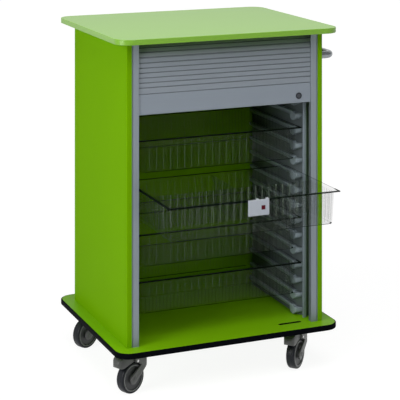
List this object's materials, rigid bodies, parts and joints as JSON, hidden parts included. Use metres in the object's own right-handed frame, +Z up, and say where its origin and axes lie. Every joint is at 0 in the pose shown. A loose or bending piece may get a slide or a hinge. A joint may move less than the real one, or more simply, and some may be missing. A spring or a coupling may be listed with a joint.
{
  "type": "mobile tray cabinet with roller shutter",
  "caption": "Mobile cabinet with a roller shutter, clear trays sliding on stepped side racks, an overhanging worktop, a bumper base, a push handle and braked swivel castors.",
  "frame": {"origin": "on the floor, under the middle of the object's bounding box as it stands with the second tray pulled out", "axes": "+Z up, -Y towards the front, from which the trays are pulled, +X to the right as seen from the front"},
  "size_m": [0.806, 0.8352, 1.152],
  "materials": {
    "green_board": "melamine-faced board, satin",
    "black_band": "black bumper edging, satin",
    "dowel_wood": "plain beech",
    "guide_aluminium": "anodised, satin",
    "track_plastic": "satin",
    "rack_plastic": "satin",
    "slat_plastic": "satin",
    "rail_aluminium": "anodised, satin",
    "lock_metal": "plated",
    "plain_steel": "zinc plated",
    "bright_steel": "plated",
    "tray_clear": "clear polycarbonate",
    "label_white": "satin",
    "card_white": "matt card",
    "handle_grey": "powder coated",
    "castor_grey": "grey, satin",
    "wheel_grey": "satin",
    "tyre_rubber": "matt"
  },
  "bodies": {
    "cabinet": {"top_panel": "green_board", "base_panel": "green_board", "base_bumper": "black_band", "side_panel_left": "green_board", "side_panel_right": "green_board", "inner_back_panel": "green_board", "back_panel": "green_board", "panel_dowels": "dowel_wood", "guide_profile_left": "guide_aluminium", "guide_profile_right": "guide_aluminium", "curtain_track_left": "track_plastic", "curtain_track_right": "track_plastic", "tray_rack_left": "rack_plastic", "tray_rack_right": "rack_plastic", "rack_ledges_left": "rack_plastic", "rack_ledges_right": "rack_plastic", "stored_slats": "slat_plastic", "push_handle": "handle_grey", "handle_screws": "plain_steel", "castor_screws": "plain_steel", "castor_plate_front_left": "plain_steel", "castor_plate_front_right": "plain_steel", "castor_plate_rear_left": "plain_steel", "castor_plate_rear_right": "plain_steel"},
    "shutter": {"shutter_rail": "rail_aluminium", "shutter_slats": "slat_plastic", "shutter_feed": "slat_plastic", "lock_barrel": "lock_metal"},
    "lock_plug": {"lock_plug": "lock_metal"},
    "lock_bolt": {"lock_bolt": "plain_steel"},
    "tray_1": {"tray_1": "tray_clear"},
    "tray_2": {"tray_2": "tray_clear", "cross_divider": "tray_clear", "length_divider": "tray_clear", "label_holder": "label_white", "label_card": "card_white"},
    "tray_3": {"tray_3": "tray_clear"},
    "tray_4": {"tray_4": "tray_clear"},
    "fork_front_left": {"castor_fork_front_left": "castor_grey", "castor_axle_front_left": "bright_steel", "pedal_pin_front_left": "bright_steel"},
    "wheel_front_left": {"tyre_front_left": "tyre_rubber", "wheel_core_front_left": "wheel_grey"},
    "pedal_front_left": {"brake_pedal_front_left": "castor_grey"},
    "fork_front_right": {"castor_fork_front_right": "castor_grey", "castor_axle_front_right": "bright_steel", "pedal_pin_front_right": "bright_steel"},
    "wheel_front_right": {"tyre_front_right": "tyre_rubber", "wheel_core_front_right": "wheel_grey"},
    "pedal_front_right": {"brake_pedal_front_right": "castor_grey"},
    "fork_rear_left": {"castor_fork_rear_left": "castor_grey", "castor_axle_rear_left": "bright_steel"},
    "wheel_rear_left": {"tyre_rear_left": "tyre_rubber", "wheel_core_rear_left": "wheel_grey"},
    "fork_rear_right": {"castor_fork_rear_right": "castor_grey", "castor_axle_rear_right": "bright_steel"},
    "wheel_rear_right": {"tyre_rear_right": "tyre_rubber", "wheel_core_rear_right": "wheel_grey"}
  },
  "joints": [
    {"name": "shutter_slide", "type": "slide", "parent": "cabinet", "child": "shutter", "axis": [0, 0, 1], "range_m": [-0.235, 0], "deforming": ["shutter_feed"]},
    {"name": "lock_turn", "type": "hinge", "parent": "shutter", "child": "lock_plug", "pos_m": [0.2595, -0.1804, 0.9223], "axis": [0, -1, 0], "range_deg": [0, 90]},
    {"name": "lock_bolt_slide", "type": "slide", "parent": "shutter", "child": "lock_bolt", "axis": [0, 0, -1], "range_m": [0, 0.01]},
    {"name": "tray_1_slide", "type": "slide", "parent": "cabinet", "child": "tray_1", "axis": [0, -1, 0], "range_m": [0, 0.3]},
    {"name": "tray_2_slide", "type": "slide", "parent": "cabinet", "child": "tray_2", "axis": [0, -1, 0], "range_m": [-0.281, 0.019]},
    {"name": "tray_3_slide", "type": "slide", "parent": "cabinet", "child": "tray_3", "axis": [0, -1, 0], "range_m": [0, 0.3]},
    {"name": "tray_4_slide", "type": "slide", "parent": "cabinet", "child": "tray_4", "axis": [0, -1, 0], "range_m": [0, 0.3]},
    {"name": "swivel_front_left", "type": "hinge", "parent": "cabinet", "child": "fork_front_left", "pos_m": [-0.298, -0.1374, 0.12], "axis": [0, 0, 1], "continuous": true},
    {"name": "roll_front_left", "type": "hinge", "parent": "fork_front_left", "child": "wheel_front_left", "pos_m": [-0.33607, -0.15515, 0.05], "axis": [-0.4226, 0.9063, 0], "continuous": true},
    {"name": "pedal_front_left", "type": "hinge", "parent": "fork_front_left", "child": "pedal_front_left", "pos_m": [-0.32519, -0.15008, 0.1045], "axis": [0.4226, -0.9063, 0], "range_deg": [0, 8]},
    {"name": "swivel_front_right", "type": "hinge", "parent": "cabinet", "child": "fork_front_right", "pos_m": [0.286, -0.1374, 0.12], "axis": [0, 0, 1], "continuous": true},
    {"name": "roll_front_right", "type": "hinge", "parent": "fork_front_right", "child": "wheel_front_right", "pos_m": [0.2545, -0.16517, 0.05], "axis": [-0.6613, 0.7501, 0], "continuous": true},
    {"name": "pedal_front_right", "type": "hinge", "parent": "fork_front_right", "child": "pedal_front_right", "pos_m": [0.2635, -0.15724, 0.1045], "axis": [0.6613, -0.7501, 0], "range_deg": [0, 8]},
    {"name": "swivel_rear_left", "type": "hinge", "parent": "cabinet", "child": "fork_rear_left", "pos_m": [-0.298, 0.3176, 0.12], "axis": [0, 0, 1], "continuous": true},
    {"name": "roll_rear_left", "type": "hinge", "parent": "fork_rear_left", "child": "wheel_rear_left", "pos_m": [-0.33607, 0.29985, 0.05], "axis": [-0.4226, 0.9063, 0], "continuous": true},
    {"name": "swivel_rear_right", "type": "hinge", "parent": "cabinet", "child": "fork_rear_right", "pos_m": [0.286, 0.3176, 0.12], "axis": [0, 0, 1], "continuous": true},
    {"name": "roll_rear_right", "type": "hinge", "parent": "fork_rear_right", "child": "wheel_rear_right", "pos_m": [0.24793, 0.29985, 0.05], "axis": [-0.4226, 0.9063, 0], "continuous": true}
  ],
  "couplings": [
    {"joint": "lock_turn", "follows": "lock_bolt_slide", "rad_per_m": 157.08}
  ]
}
